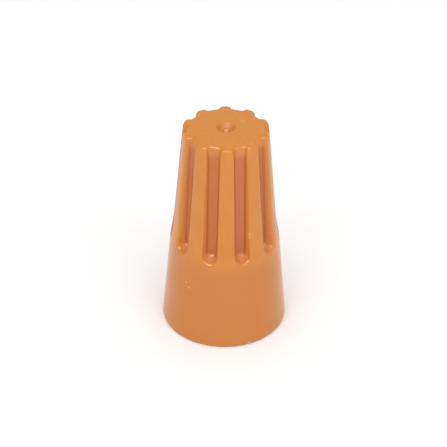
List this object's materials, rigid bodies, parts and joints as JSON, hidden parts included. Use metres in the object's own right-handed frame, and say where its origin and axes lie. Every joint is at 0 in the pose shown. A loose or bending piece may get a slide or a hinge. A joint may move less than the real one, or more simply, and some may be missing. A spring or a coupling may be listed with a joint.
{
  "type": "twist-on wire connector",
  "caption": "Fluted conical plastic shell, closed at the tip and open at the mouth, with a tapered square-wire spring pressed inside that threads onto twisted wires.",
  "frame": {"origin": "centre of the mouth's rim, in the plane that the connector stands on", "axes": "+Z along the connector's axis, from the open mouth to the closed tip; -Y through the middle of a rib, between two flutes"},
  "size_m": [0.0116, 0.0116, 0.0203],
  "materials": {
    "shell_plastic": "satin moulded polypropylene, orange right through",
    "spring_steel": "bright zinc plate on drawn square wire"
  },
  "bodies": {
    "root": {"shell": "shell_plastic", "spring": "spring_steel"}
  },
  "joints": []
}
